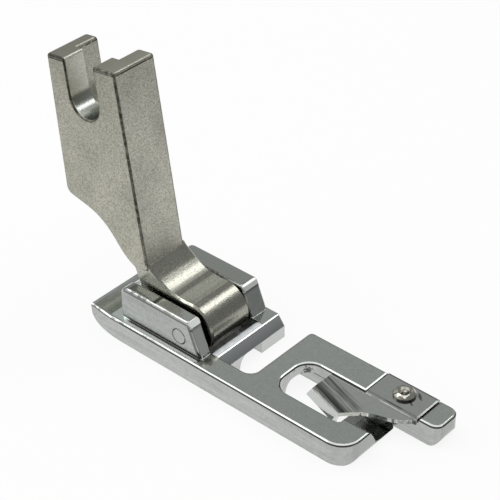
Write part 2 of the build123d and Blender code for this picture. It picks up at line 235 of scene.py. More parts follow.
light_panel("left_panel", -27, 50, 0.2, 0.15, 2.3)
light_panel("right_panel", 93, 53, 0.12, 0.09, 2.7)
light_panel("top_panel", 0, 89.9, 0.4, 0.4, 1.25)

# %% [markdown]
# Polished plating is never a perfect mirror. Under it the casting keeps a slow ripple from the
# polishing wheel, and on it handling leaves duller patches. Sole, hemmer, rivet and pin need that at
# their own scale, so it is one node group with named sockets: a ripple height and a patch mask.

# %% polish group
def new_group(name, inputs, outputs):
    tree = bpy.data.node_groups.new(name, "ShaderNodeTree")
    for socket, value in inputs.items():
        made = tree.interface.new_socket(socket, in_out="INPUT", socket_type="NodeSocketFloat")
        made.default_value = value
    for socket in outputs:
        tree.interface.new_socket(socket, in_out="OUTPUT", socket_type="NodeSocketFloat")
    return tree, tree.nodes.new("NodeGroupInput").outputs, tree.nodes.new("NodeGroupOutput").inputs


def noise(tree, spot, scale, **settings):
    return node(tree, "ShaderNodeTexNoise", {"Vector": spot, "Scale": scale, **settings}).outputs[0]


polish, given, out = new_group("polish", {"Ripple Scale": 500, "Patch Scale": 900}, ("Ripple", "Patch"))
place = node(polish, "ShaderNodeTexCoord").outputs["Object"]
polish.links.new(noise(polish, place, given["Ripple Scale"], Detail=1.0), out["Ripple"])
cloud = noise(polish, place, given["Patch Scale"], Detail=4.0, Roughness=0.65)
polish.links.new(fade(polish, cloud, 0.35, 0.68), out["Patch"])
print("group", polish.name, [s.name for s in polish.interface.items_tree])

# %% [markdown]
# The finishes below are drawn by place, as a plater would point at the part: this edge, that face.
# So each material first asks where it is, in millimetres from the part's origin, and which way the
# face looks. A UV map would need unwrapping; Object coordinates come for free, and they stay with
# the piece when it moves. stretch is a straight fade between two numbers, scaled makes a tint
# lighter or darker, and dress puts the finished material on its piece.

# %% surface helpers
def use_polish(tree, ripple, patch):
    made = node(tree, "ShaderNodeGroup", node_tree=polish)
    made.inputs["Ripple Scale"].default_value = ripple
    made.inputs["Patch Scale"].default_value = patch
    return made.outputs


def scaled(tree, arrow, factor):
    return node(tree, "ShaderNodeVectorMath", {0: arrow, 3: factor}, operation="SCALE").outputs[0]


def surface_places(tree):
    coords = node(tree, "ShaderNodeTexCoord").outputs
    in_mm = scaled(tree, coords["Object"], 1 / MM)
    return coords["Object"], in_mm, axes(tree, in_mm), axes(tree, coords["Normal"])


def stretch(tree, value, start, end, low=0.0, high=1.0):
    return node(tree, "ShaderNodeMapRange", {0: value, 1: start, 2: end, 3: low, 4: high}).outputs[0]


def dress(piece, material):
    nodes[piece].data.materials.clear()
    nodes[piece].data.materials.append(material)
    print("finish", material.name, "on", piece)


print("surface helpers ready")

# %% [markdown]
# The chromed sole is one casting with very different places on it: toes with rolled edges, a rim
# round the tub, two ears and the cross bar. They could be separate materials on separate faces, but
# a CAD mesh has no face groups to pick, so masks find each place by its height, its side and the way
# it faces. depth is how far a point lies below the top edge, which rises towards the rear lip.

# %% sole places
TOP_FRONT, TOP_REAR, LIP_START, LIP_END = 2.65, 3.0, 13.335, 15.835
# a rolled edge is this deep, and the painted dark reflection line under it ends at LINE
EDGE, LINE = 0.12, 0.31
TOE_START, RIM_INSIDE, RIM_TOP, EAR_OUTSIDE = 0.45, -5.55, -5.8, -4.5
BAR_FRONT, BAR_REAR, BAR_HALF = 0.2, 1.2, 3.5

tree, chrome, material = new_material("chromed_sole")
marks = use_polish(tree, 420, 1500)
place, in_mm, at, face = surface_places(tree)
brim = stretch(tree, at["Y"], LIP_START, LIP_END, TOP_FRONT, TOP_REAR)
depth = maths(tree, "SUBTRACT", brim, at["Z"])
on_edge = product(tree, fade(tree, depth, EDGE + 0.02, EDGE - 0.02), fade(tree, depth, -0.05, -0.02))
on_toes = fade(tree, at["Y"], TOE_START, TOE_START - 0.1)
on_rim = product(tree, fade(tree, at["X"], RIM_INSIDE, RIM_INSIDE - 0.05),
                 maths(tree, "SUBTRACT", 1.0, on_toes))
bead = product(tree, on_rim, fade(tree, at["X"], RIM_TOP, RIM_TOP - 0.07), on_edge)
ear = product(tree, fade(tree, face["X"], -0.9, -0.97), fade(tree, at["X"], EAR_OUTSIDE, EAR_OUTSIDE - 0.05),
              fade(tree, at["X"], RIM_INSIDE + 0.3, RIM_INSIDE + 0.5))
ear_front = product(tree, fade(tree, face["Y"], -0.85, -0.92), fade(tree, at["Y"], 1.45, 1.5))
ear_rounding = product(tree, fade(tree, face["Y"], -0.25, -0.4), fade(tree, at["Z"], 5.05, 5.6))
on_bar = product(tree, band(tree, at["Y"], BAR_FRONT, BAR_REAR, 0.03), fade(tree, at["Z"], 0.8, 1.2),
                 fade(tree, maths(tree, "ABSOLUTE", at["X"]), BAR_HALF + 0.05, BAR_HALF - 0.05))
print("material", material.name, "has its places")

# %% [markdown]
# On the real sole no face is quite flat and no edge quite sharp: the ears have draft, the rim is a
# bead, the bar is round, and the toes' edges roll over where the wheel ran. That lean decides which
# part of the room a place mirrors. More faces in the mesh could carry it, but the lean is a few
# hundredths of a millimetre, so the shading normal is leant instead. The Bevel node gives the soft
# edges, and each place then adds its own lean or takes a fixed direction.

# %% sole leaning faces
EAR_DRAFT, EAR_FRONT_DRAFT = 0.5, 0.22
BAR_LEAN, BEAD_LEAN, ROUNDING_LEAN = (0, -0.36, 0.933), (-0.5, 0, 0.866), (0, -0.42, 0.907)


def turn_normal(tree, share, normal, direction):
    made = node(tree, "ShaderNodeMix", {0: share, 4: normal, 5: direction}, data_type="VECTOR")
    return made.outputs[1]


soft = node(tree, "ShaderNodeBevel", {"Radius": EDGE * MM}, samples=8).outputs[0]
leaning = axes(tree, soft)
near_side = fade(tree, maths(tree, "ADD", leaning["X"], leaning["Y"]), 0.1, -0.1)
rolled = product(tree, fade(tree, leaning["Z"], 0.1, 0.5), near_side, on_toes, on_edge)
roll_lift = stretch(tree, leaning["Y"], -0.1, -0.6, 0.55, 1.04)
lift = maths(tree, "MULTIPLY_ADD", ear_front, EAR_FRONT_DRAFT, maths(tree, "MULTIPLY", ear, EAR_DRAFT))
lift = maths(tree, "MULTIPLY_ADD", rolled, roll_lift, lift)
sole_normal = vector(tree, "ADD", soft, node(tree, "ShaderNodeCombineXYZ", {"Z": lift}).outputs[0])
for share, direction in ((on_bar, BAR_LEAN), (bead, BEAD_LEAN), (ear_rounding, ROUNDING_LEAN)):
    sole_normal = turn_normal(tree, share, sole_normal, direction)
sole_normal = vector(tree, "NORMALIZE", sole_normal)
print("sole faces lean in", len(tree.nodes), "nodes")

# %% [markdown]
# Chrome is close to a mirror with a cool cast. Metallic 1 and a mid grey base give its reflectance,
# and the patches shift it a little. Under the bright rolled edge runs a thin dark line, a painted dark
# reflection. The long sides were drawn over a belt, so their grain is stretched along the foot by
# squeezing the noise's Y axis, and a fine speckle lies over everything.

# %% sole plating and edge lines
PLATING, PLATING_WORN, REFLECTION_LINE_BLACK = (0.47, 0.485, 0.47), (0.43, 0.445, 0.43), (0.05, 0.055, 0.05)
LINE_STRENGTH, SPECKLE, BELT_MARKS = 0.92, 0.34, 0.5


def centred(tree, value):
    return maths(tree, "SUBTRACT", value, 0.5)


tint = blend_colours(tree, marks["Patch"], PLATING, PLATING_WORN)
# painted dark reflection: a thin dark line under the rolled edge
reflection_line = product(tree, fade(tree, depth, LINE, LINE - 0.06), fade(tree, depth, EDGE - 0.02, EDGE))
reflection_line = product(tree, reflection_line, fade(tree, face["Z"], 0.85, 0.75), either(tree, on_toes, on_rim))
tint = blend_colours(tree, product(tree, reflection_line, LINE_STRENGTH), tint, REFLECTION_LINE_BLACK)
grain = centred(tree, noise(tree, place, 5200, Detail=2.0))
belt = centred(tree, noise(tree, vector(tree, "MULTIPLY", place, (1, 0.06, 1)), 2600, Detail=3.0))
on_side = product(tree, fade(tree, face["X"], -0.85, -0.95), BELT_MARKS)
speckle = maths(tree, "MULTIPLY_ADD", grain, SPECKLE, 1.0)
tint = scaled(tree, tint, maths(tree, "MULTIPLY_ADD", belt, on_side, speckle))
print("sole plating drawn")

# %% [markdown]
# The left ear carries the most: a dark line along its top and its slanting front, a ring round the
# pin, and a black band where its foot meets the tub's floor. The lines and the band are painted shade
# and dark reflection; the ring is the real dark joint round the pin's end. Each is a band of height,
# of distance from the slanting front or of distance from the pin. A modelled joint would be thinner
# than the mesh can hold.

# %% sole ear lines
EAR_SLANT, EAR_FRONT, EAR_FOOT = 0.3924, 1.066, 2.4
PIN_MIDDLE, PIN_RING = (0, 4.585, 3.72), (0.86, 0.96)
EAR_SHADE_AND_RING, FOOT_SHADE_BLACK = (0.1, 0.1, 0.095), (0.06, 0.06, 0.056)

slant = maths(tree, "MULTIPLY_ADD", at["Z"], -EAR_SLANT, maths(tree, "SUBTRACT", at["Y"], EAR_FRONT))
pin_apart = vector(tree, "DISTANCE", vector(tree, "MULTIPLY", in_mm, (0, 1, 1)), PIN_MIDDLE)
# painted shade lines along the ear's top and slanting front, and the pin's real dark joint ring
lines = either(tree, band(tree, at["Z"], 5.66, 5.84, 0.05), band(tree, slant, 0.0, 0.06, 0.06))
lines = either(tree, lines, band(tree, pin_apart, *PIN_RING, 0.03))
# painted shade along the ear's inner front corner
inner_corner = product(tree, band(tree, slant, -0.22, 0.02, 0.06), fade(tree, at["Z"], 5.9, 5.6),
                       band(tree, at["X"], -4.7, -4.36, 0.05))
lines = either(tree, product(tree, lines, ear), inner_corner)
tint = blend_colours(tree, product(tree, lines, 0.75), tint, EAR_SHADE_AND_RING)

flat = fade(tree, face["Z"], 0.9, 0.95)
# painted shade at the ear's foot, where it meets the tub's floor
foot_shade = product(tree, flat, fade(tree, at["Z"], EAR_FOOT, EAR_FOOT - 0.1),
                 band(tree, at["X"], -4.88, EAR_OUTSIDE, 0.06))
foot_shade = either(tree, foot_shade, product(tree, ear, fade(tree, at["Z"], EAR_FOOT + 0.06, EAR_FOOT - 0.04)))
tint = blend_colours(tree, product(tree, foot_shade, LINE_STRENGTH), tint, FOOT_SHADE_BLACK)

print("ear lines and groove drawn")

# %% [markdown]
# The tops and fronts of the ears carry painted reflections and shade: the left top is bright in front
# and dull behind a dark spot, the right one is an even grey, the left front face has a painted
# highlight, and both fronts get painted shade where they round over to the top. Each gets its tint in
# turn, and a later tint covers an earlier one, as coats of paint do.

# %% sole ear tops and fronts
EAR_TOP, EAR_SPOT, REFLECTED_SPOT_BLACK = 6.0, 8.2, (0.07, 0.07, 0.066)
TOP_REFLECTION_BRIGHT, TOP_REFLECTION_DULL, RIGHT_TOP_REFLECTION = (0.49, 0.5, 0.485), (0.31, 0.32, 0.31), (0.365, 0.375, 0.36)
FRONT_HIGHLIGHT, ROUND_SHADE_LEFT, ROUND_SHADE_RIGHT = (0.7, 0.71, 0.7), (0.2, 0.205, 0.2), (0.12, 0.123, 0.12)

on_left, on_right = fade(tree, at["X"], 0.0, -1.0), fade(tree, at["X"], 0.0, 1.0)
at_top = fade(tree, at["Z"], EAR_TOP - 0.1, EAR_TOP)
left_top = product(tree, flat, at_top, on_left)
# painted reflection on the left ear's top: bright front, dull rear and a dark spot
for share, colour in ((fade(tree, at["Y"], EAR_SPOT + 0.2, EAR_SPOT - 0.2), TOP_REFLECTION_BRIGHT),
                      (fade(tree, at["Y"], EAR_SPOT - 0.1, EAR_SPOT + 0.3), TOP_REFLECTION_DULL),
                      (band(tree, at["Y"], EAR_SPOT - 0.1, EAR_SPOT + 0.2, 0.2), REFLECTED_SPOT_BLACK)):
    tint = blend_colours(tree, product(tree, left_top, share), tint, colour)
# painted highlight on the left front, painted shade on the roundings, painted reflection grey on the right
# top
tint = blend_colours(tree, product(tree, ear_front, on_left), tint, FRONT_HIGHLIGHT)
rounding_shade = blend_colours(tree, fade(tree, at["X"], -1.0, 1.0), ROUND_SHADE_LEFT, ROUND_SHADE_RIGHT)
tint = blend_colours(tree, ear_rounding, tint, rounding_shade)
tint = blend_colours(tree, product(tree, at_top, on_right), tint, RIGHT_TOP_REFLECTION)
print("ear tops drawn round the spot at", EAR_SPOT, "mm")

# %% [markdown]
# The cross bar's round top shows the room as stripes from the hinge to the toes: dull, then pale,
# then a thin dark line and a bright one at the front. A real round would mirror them by itself, but
# at a millimetre across its few facets can't, so a colour ramp lays the stripes as painted
# reflections. The bar's sloping face, which grades lighter towards its top, its front end and the
# pale tub get tints of painted reflection too, and the toes' sides and fronts are painted darker,
# a painted shade.

# %% sole bar, tub and toes
# place from the hinge to the toes, and grey
BAR_TONES = ((0.0, 0.12), (0.25, 0.18), (0.45, 0.25), (0.7, 0.26), (0.78, 0.42), (0.85, 0.06), (0.93, 0.42))
BAR_CAST, SLOPE_FOOT, SLOPE_TOP = (0.98, 1.02, 1.03), (0.42, 0.43, 0.44), (0.6, 0.615, 0.615)
TUB_PALE_REFLECTION, BAR_END_REFLECTION, TOE_FRONT_SHADE = (0.64, 0.69, 0.67), (0.54, 0.55, 0.54), (0.33, 0.34, 0.33)


def tone_ramp(tree, value, stops, cast=(1, 1, 1)):
    made = node(tree, "ShaderNodeValToRGB", {0: value})
    made.color_ramp.elements.remove(made.color_ramp.elements[1])
    for spot, grey in stops:
        stop = made.color_ramp.elements.new(spot) if spot else made.color_ramp.elements[0]
        stop.color = rgba(grey * part for part in cast)
    return made.outputs[0]


stripes = tone_ramp(tree, stretch(tree, at["Y"], BAR_REAR, BAR_FRONT), BAR_TONES, BAR_CAST)
tint = blend_colours(tree, on_bar, tint, stripes)
# painted reflection tints on the bar's sloping face, the tub and the bar's front end
slope = product(tree, band(tree, at["Y"], -0.7, 0.22, 0.02), fade(tree, face["Y"], -0.5, -0.6),
                fade(tree, face["Z"], 0.1, 0.2))
slope_reflection = blend_colours(tree, fade(tree, at["Z"], 1.3, 2.6), SLOPE_FOOT, SLOPE_TOP)
tint = blend_colours(tree, slope, tint, slope_reflection)
in_tub = product(tree, fade(tree, at["Y"], 11.5, 12.5), band(tree, at["X"], -5.6, 5.6, 0.05),
                 fade(tree, depth, 0.1, 0.2))
tint = blend_colours(tree, in_tub, tint, TUB_PALE_REFLECTION)
bar_end = product(tree, fade(tree, face["Y"], -0.85, -0.92), band(tree, at["Y"], -0.9, -0.4, 0.05))
tint = blend_colours(tree, bar_end, tint, BAR_END_REFLECTION)
# painted shade: the toes' sides and fronts darker
toe_sides = product(tree, fade(tree, face["Z"], 0.3, 0.2), fade(tree, at["Y"], -7.0, -12.0))
tint = scaled(tree, tint, maths(tree, "MULTIPLY_ADD", toe_sides, -0.07, 1.0))
toe_fronts = product(tree, fade(tree, face["Y"], -0.85, -0.95), fade(tree, at["Y"], -15.0, -16.0))
tint = blend_colours(tree, product(tree, toe_fronts, 0.6), tint, TOE_FRONT_SHADE)
print("bar, tub and toes drawn")

# %% [markdown]
# A noise breaks the bright line of the rim's bead and of the ear's ridge with dark dots towards the
# rear. The toes' edges on the right and at the rear carry a thin dark line instead of a bright one,
# a painted shade. A wider Bevel finds them, because it turns the normal over a broader strip beside
# the edge.

# %% sole dotted bead and far-edge shade
DOT_BLACK, FAR_SHADE_BLACK, FAR_WIDTH = (0.12, 0.122, 0.118), (0.1, 0.1, 0.095), 0.3

dotted = product(tree, fade(tree, noise(tree, place, 1700, Detail=1.0), 0.56, 0.42),
                  fade(tree, at["Y"], 3.5, 8.0))
ear_ridge = product(tree, fade(tree, at["Z"], 5.7, 5.8), band(tree, face["X"], -0.9, -0.25, 0.05))
dotted = product(tree, dotted, either(tree, bead, ear_ridge))
tint = blend_colours(tree, product(tree, dotted, 0.8), tint, DOT_BLACK)

# painted shade along the toes' far edges
wide = axes(tree, node(tree, "ShaderNodeBevel", {"Radius": FAR_WIDTH * MM}, samples=8).outputs[0])
far_edge_shade = product(tree, fade(tree, maths(tree, "ADD", wide["X"], wide["Y"]), 0.1, 0.28),
                   fade(tree, wide["Z"], 0.2, 0.4), on_toes, fade(tree, depth, FAR_WIDTH, FAR_WIDTH - 0.1))
tint = blend_colours(tree, product(tree, far_edge_shade, 0.65), tint, FAR_SHADE_BLACK)

print("edges chipped")

# %% [markdown]
# A dark ragged spot lies at the ear's front foot, and inside the needle opening a dark line and spot.
# A ragged spot is the distance from its middle with some of the grain added, so that its outline
# isn't a circle. A painted mask could do the same, but this one stays sharp at any size.

# %% sole dark spots and line
FOOT_SPOT_MIDDLE, FOOT_SPOT_BLACK = (-4.7, 0.5, 2.65), (0.1, 0.105, 0.11)
OPENING_SPOT_MIDDLE, OPENING_SPOT_BLACK, MID_LINE_BLACK = (2.0, -7.2, 1.75), (0.07, 0.07, 0.065), (0.12, 0.12, 0.11)


def ragged_spot(tree, middle, raggedness):
    return maths(tree, "MULTIPLY_ADD", grain, raggedness, vector(tree, "DISTANCE", in_mm, middle))


foot_spot = fade(tree, ragged_spot(tree, FOOT_SPOT_MIDDLE, 1.2), 0.9, 0.3)
tint = blend_colours(tree, product(tree, foot_spot, 0.8), tint, FOOT_SPOT_BLACK)
opening = product(tree, band(tree, at["X"], 0.5, 2.42, 0.05), band(tree, at["Y"], -15.5, -6.78, 0.05),
                  fade(tree, face["Z"], 0.6, 0.4))
mid_line = product(tree, opening, band(tree, at["Z"], 1.17, 1.24, 0.04))
tint = blend_colours(tree, mid_line, tint, MID_LINE_BLACK)
opening_spot = product(tree, opening, fade(tree, ragged_spot(tree, OPENING_SPOT_MIDDLE, 1.6), 0.75, 0.3))
tint = blend_colours(tree, opening_spot, tint, OPENING_SPOT_BLACK)
print("scuff at", FOOT_SPOT_MIDDLE, "smudge at", OPENING_SPOT_MIDDLE)

# %% [markdown]
# The tints, the roughness and the leant normals meet in the Principled shader. The ripple goes
# through a Bump node that starts from those normals. Every finish below ends in the same few lines,
# so they are one helper. The ear's face and the bar are duller than the rest.

# %% sole shader
def finish_metal(tree, shader, tint, roughness, normal, height=None, strength=0.0, reach=0.03):
    tree.links.new(tint, shader.inputs["Base Color"])
    tree.links.new(roughness, shader.inputs["Roughness"])
    shader.inputs["Metallic"].default_value = 1
    if height:
        bump = {"Height": height, "Strength": strength, "Distance": reach * MM, "Normal": normal}
        normal = node(tree, "ShaderNodeBump", bump).outputs[0]
    tree.links.new(normal, shader.inputs["Normal"])


dull = stretch(tree, marks["Patch"], 0, 1, 0.1, 0.17)
dull = maths(tree, "MULTIPLY_ADD", either(tree, ear, on_bar), 0.14, dull)
finish_metal(tree, chrome, tint, dull, sole_normal, marks["Ripple"], 0.25)
dress("sole_plate", material)

# %% [markdown]
# The hemmer is bent from thin sheet and plated bright, a little smoother than the sole. Its roll lies
# askew, so the useful measure is the distance from the roll's slanting crest, not X. With that, masks
# find the roll, the flap that hangs from the crest, the bend between wing and tab, and the cut edges.

# %% hemmer places
CREST_X, CREST_Y, CREST_SLANT = -0.42, -10.315, 0.313
ROLL_START, ROLL_END, TAB_FRONT, BEND = -0.4, 2.6, -20.72, 2.2

tree, chrome, material = new_material("bright_sheet")
marks = use_polish(tree, 700, 2200)
place, _, at, face = surface_places(tree)
crest = maths(tree, "MULTIPLY_ADD", maths(tree, "SUBTRACT", at["Y"], CREST_Y), CREST_SLANT, CREST_X)
across = maths(tree, "SUBTRACT", at["X"], crest)
on_roll = product(tree, fade(tree, across, ROLL_END, ROLL_END - 0.2), fade(tree, face["Z"], 0.6, 0.75),
                  fade(tree, at["Y"], -16.5, -14.8))
flap = product(tree, fade(tree, face["Z"], 0.85, 0.72), fade(tree, face["X"], -0.3, -0.5),
               fade(tree, across, -0.1, -0.2))
on_bend = product(tree, fade(tree, at["X"], BEND - 0.25, BEND - 0.2), fade(tree, face["X"], -0.15, -0.3))
wing_edge = product(tree, fade(tree, face["Y"], -0.3, -0.5), fade(tree, face["Z"], 0.5, 0.3),
                    fade(tree, at["X"], BEND, BEND - 0.2))
tab_edge = product(tree, fade(tree, at["Y"], TAB_FRONT, TAB_FRONT - 0.03), fade(tree, face["Z"], 0.9, 0.95))
print("material", material.name, "has its places")

# %% [markdown]
# Rolling the sheet drew it out: fine streaks run along the roll, and the curve mirrors the room in
# long dark and light stripes. The streaks are noise that is squeezed along the crest. The stripes
# are a ramp over the distance from the crest, for the same reason as on the bar.

# %% hemmer roll
SHEET, SHEET_WORN, SHEET_CAST = (0.49, 0.5, 0.485), (0.45, 0.46, 0.45), (1, 1.01, 0.97)
# place from the crest to the flat wing, and grey
ROLL_TONES = ((0.0, 0.16), (0.1, 0.09), (0.27, 0.1), (0.37, 0.2), (0.52, 0.42), (0.63, 0.34), (0.81, 0.19),
              (0.96, 0.48))

tint = blend_colours(tree, marks["Patch"], SHEET, SHEET_WORN)
lengthwise = node(tree, "ShaderNodeCombineXYZ", {"X": across, "Y": product(tree, at["Y"], 0.06)}).outputs[0]
streaks = fade(tree, noise(tree, lengthwise, 4200 * MM, Detail=2.0), 0.36, 0.62)
stripes = tone_ramp(tree, stretch(tree, across, ROLL_START, ROLL_END), ROLL_TONES, SHEET_CAST)
stripes = scaled(tree, stripes, maths(tree, "MULTIPLY_ADD", streaks, 0.6, 0.65))
tint = blend_colours(tree, on_roll, tint, stripes)
print("roll drawn with", len(ROLL_TONES), "tones")

# %% [markdown]
# Where the wing meets the tab the sheet was creased. The crease carries a painted dark reflection with
# a broken painted highlight in it, and a painted shade lies beside it on the tab, deepest near the
# rivet. The tab is painted a touch darker than the wing, and the wing's cut edge has a painted
# highlight.

# %% hemmer bend and tab
CREASE_DARK_REFLECTION, CREASE_HIGHLIGHT, CUT_EDGE_HIGHLIGHT = (0.07, 0.072, 0.068), (0.14, 0.142, 0.135), (0.5, 0.5, 0.47)
TAB_SHADE_LOSS, BEND_SHADE, RIVET_SHADE = -0.08, -0.3, -0.4

# painted dark reflection in the crease, with a broken painted highlight
light = product(tree, band(tree, at["X"], BEND - 0.01, BEND + 0.05, 0.03),
                fade(tree, noise(tree, place, 1100, Detail=2.0), 0.3, 0.5))
tint = blend_colours(tree, on_bend, tint, blend_colours(tree, light, CREASE_DARK_REFLECTION, CREASE_HIGHLIGHT))
# painted shade: the tab darker, most of all beside the bend near the rivet
on_tab = fade(tree, at["X"], BEND + 0.1, BEND + 0.3)
tint = scaled(tree, tint, maths(tree, "MULTIPLY_ADD", on_tab, TAB_SHADE_LOSS, 1.0))
beside_bend = product(tree, band(tree, at["X"], BEND, BEND + 0.3, 0.2), fade(tree, face["Z"], 0.95, 0.99))
shade = maths(tree, "MULTIPLY_ADD", band(tree, at["Y"], -18.6, -17.2, 0.6), RIVET_SHADE, BEND_SHADE)
tint = scaled(tree, tint, maths(tree, "MULTIPLY_ADD", beside_bend, shade, 1.0))
# painted highlight on the wing's cut edge
tint = blend_colours(tree, wing_edge, tint, CUT_EDGE_HIGHLIGHT)

print("crease drawn at", BEND, "mm")

# %% [markdown]
# Beside the rivet there are slanting dark marks. A mark is a distance again, measured in a sheared
# and squeezed plane so that it comes out long and narrow. A dark line of painted shade runs along the
# tab's right edge, and the flap under the crest is painted bright, a painted reflection that makes it
# the brightest place on the sheet.

# %% hemmer dark marks, edge shade and flap
MARK_BLACK, TAB_EDGE_SHADE_BLACK, FLAP_REFLECTION = (0.08, 0.08, 0.072), (0.08, 0.08, 0.075), (0.58, 0.59, 0.57)
# middle of each stain, X and Y
DARK_MARKS = ((5.3, -18.95), (5.0, -19.2), (3.75, -19.05))
MARK_SHEAR, MARK_SQUEEZE, TAB_SIDE = -0.5, 2.4, 5.88

speck = noise(tree, place, 5200)
for x, y in DARK_MARKS:
    along = maths(tree, "SUBTRACT", at["Y"], y)
    aside = maths(tree, "MULTIPLY_ADD", along, MARK_SHEAR, maths(tree, "SUBTRACT", at["X"], x))
    aside = product(tree, aside, MARK_SQUEEZE)
    dark_mark = vector(tree, "LENGTH", node(tree, "ShaderNodeCombineXYZ", {"X": aside, "Y": along}).outputs[0])
    dark_mark = fade(tree, maths(tree, "MULTIPLY_ADD", speck, 0.8, dark_mark), 0.85, 0.6)
    tint = blend_colours(tree, product(tree, dark_mark, 0.85), tint, MARK_BLACK)
# painted shade line along the tab's right edge
far_edge_shade = product(tree, fade(tree, at["X"], TAB_SIDE - 0.1, TAB_SIDE), fade(tree, face["Z"], 0.8, 0.9))
tint = blend_colours(tree, product(tree, far_edge_shade, 0.7), tint, TAB_EDGE_SHADE_BLACK)
# painted reflection: the flap under the crest made bright
tint = blend_colours(tree, flap, tint, FLAP_REFLECTION)
print("tab drawn with", len(DARK_MARKS), "stains")

# %% [markdown]
# The hanging flap is slightly hollow and the cut edges are burred over, so both lean their normals:
# the flap towards the white wall, the edges towards the right panel.

# %% hemmer shader
FLAP_LEAN, CUT_LEAN = (-0.766, 0, 0.643), (0, -0.375, 0.927)

sheet_normal = node(tree, "ShaderNodeNewGeometry").outputs["Normal"]
sheet_normal = turn_normal(tree, flap, sheet_normal, FLAP_LEAN)
sheet_normal = turn_normal(tree, either(tree, tab_edge, wing_edge), sheet_normal, CUT_LEAN)
dull = stretch(tree, marks["Patch"], 0, 1, 0.1, 0.18)
finish_metal(tree, chrome, tint, dull, sheet_normal, marks["Ripple"], 0.3)
dress("hem_scroll", material)

# %% [markdown]
# The rivet's head was set with a hollow punch: a low dome with a dished middle and a small nub. The
# CAD head is a few cones, so a ramp draws the dome's true slope from the middle to the rim and the
# shading normal leans outwards by that much. The dish and a ring round the rim are darkened with
# painted shade.

# %% rivet finish
RIVET_MIDDLE, RIVET_REACH, RIVET_RIM = (4.4, -17.765, 0), 1.3, 1.13
# place from the middle to the rim, and the slope: a ramp holds no negative, so it is raised and halved
SLOPE_RAISE = 0.8
HEAD_SLOPES = ((0.0, 0.4), (0.12, 0.55), (0.17, 0.4), (0.23, 0.15), (0.33, 0.2), (0.39, 0.55), (0.46, 0.635),
               (0.77, 0.825), (0.92, 1.0))
RIVET_STEEL, RIVET_WORN, HEAD_SHADE_BLACK = (0.56, 0.545, 0.49), (0.42, 0.41, 0.36), (0.05, 0.048, 0.04)

tree, steel, material = new_material("scroll_rivet_steel")
marks = use_polish(tree, 900, 2600)
_, in_mm, _, face = surface_places(tree)
spoke = vector(tree, "MULTIPLY", vector(tree, "SUBTRACT", in_mm, RIVET_MIDDLE), (1, 1, 0))
apart = vector(tree, "LENGTH", spoke)
ramp = tone_ramp(tree, maths(tree, "DIVIDE", apart, RIVET_REACH), HEAD_SLOPES)
slope = maths(tree, "MULTIPLY_ADD", ramp, 2.0, -SLOPE_RAISE)
outward = scaled(tree, vector(tree, "NORMALIZE", spoke), slope)
dome = vector(tree, "NORMALIZE", vector(tree, "ADD", outward, (0, 0, 1)))
plain = node(tree, "ShaderNodeNewGeometry").outputs["Normal"]
head_normal = turn_normal(tree, fade(tree, face["Z"], 0.1, 0.3), plain, dome)

tint = blend_colours(tree, marks["Patch"], RIVET_STEEL, RIVET_WORN)
# painted shade in the dish and round the rim
head_shade = product(tree, band(tree, apart, 0.28, 0.46, 0.05), fade(tree, marks["Patch"], 0.05, 0.6))
head_shade = either(tree, head_shade, fade(tree, apart, RIVET_RIM, RIVET_RIM + 0.05))
tint = blend_colours(tree, product(tree, head_shade, 0.85), tint, HEAD_SHADE_BLACK)
finish_metal(tree, steel, tint, stretch(tree, marks["Patch"], 0, 1, 0.07, 0.16), head_normal)
dress("scroll_rivet", material)

# %% [markdown]
# The hinge pin shows only its end in the ear. It was ground flush with the ear's drafted face, so its
# end face leans up with that face, and a dark line is left where it meets the hole.

# %% pin finish
PIN_STEEL, PIN_WORN, PIN_LINE = (0.47, 0.475, 0.46), (0.42, 0.425, 0.41), (0.1, 0.1, 0.09)

tree, steel, material = new_material("hinge_pin_steel")
marks = use_polish(tree, 900, 2600)
_, in_mm, _, face = surface_places(tree)
tint = blend_colours(tree, marks["Patch"], PIN_STEEL, PIN_WORN)
spoke = vector(tree, "DISTANCE", vector(tree, "MULTIPLY", in_mm, (0, 1, 1)), PIN_MIDDLE)
tint = blend_colours(tree, product(tree, fade(tree, spoke, 0.78, 0.84), 0.6), tint, PIN_LINE)
draft = product(tree, fade(tree, face["X"], -0.9, -0.97), EAR_DRAFT)
plain = node(tree, "ShaderNodeNewGeometry").outputs["Normal"]
pin_normal = vector(tree, "ADD", plain, node(tree, "ShaderNodeCombineXYZ", {"Z": draft}).outputs[0])
pin_normal = vector(tree, "NORMALIZE", pin_normal)
finish_metal(tree, steel, tint, stretch(tree, marks["Patch"], 0, 1, 0.12, 0.2), pin_normal)
dress("hinge_pin", material)

# %% [markdown]
# The shank is an investment casting that was tumbled and nickel plated: a warm satin grey with a
# fine speckle, and slow clouds of tone over its large faces. A noise with a soft threshold gives the
# speckle. The front face gets a lighter copy of the casting, painted light, and the top a darker one
# that darkens further towards the rear, painted shade.

# %% shank cast skin
CAST_DARK, CAST_LIGHT = (0.305, 0.297, 0.243), (0.495, 0.485, 0.415)
FRONT_DARK, FRONT_LIGHT = (0.36, 0.352, 0.295), (0.58, 0.572, 0.505)
TOP_NEAR, TOP_FAR = (0.345, 0.339, 0.288), (0.29, 0.285, 0.242)
CLOUDINESS = 0.5

tree, satin, material = new_material("satin_casting")
place, in_mm, at, face = surface_places(tree)
pitted = noise(tree, place, 6200, Detail=3.0, Roughness=0.65)
fleck = fade(tree, pitted, 0.38, 0.6)
cast = blend_colours(tree, fleck, CAST_DARK, CAST_LIGHT)
# painted shade: the top darker, darkest towards the rear
top_shade_cast = blend_colours(tree, fade(tree, at["Y"], 17.3, 19.3), TOP_NEAR, TOP_FAR)
cast = blend_colours(tree, fade(tree, face["Z"], 0.93, 0.98), cast, top_shade_cast)
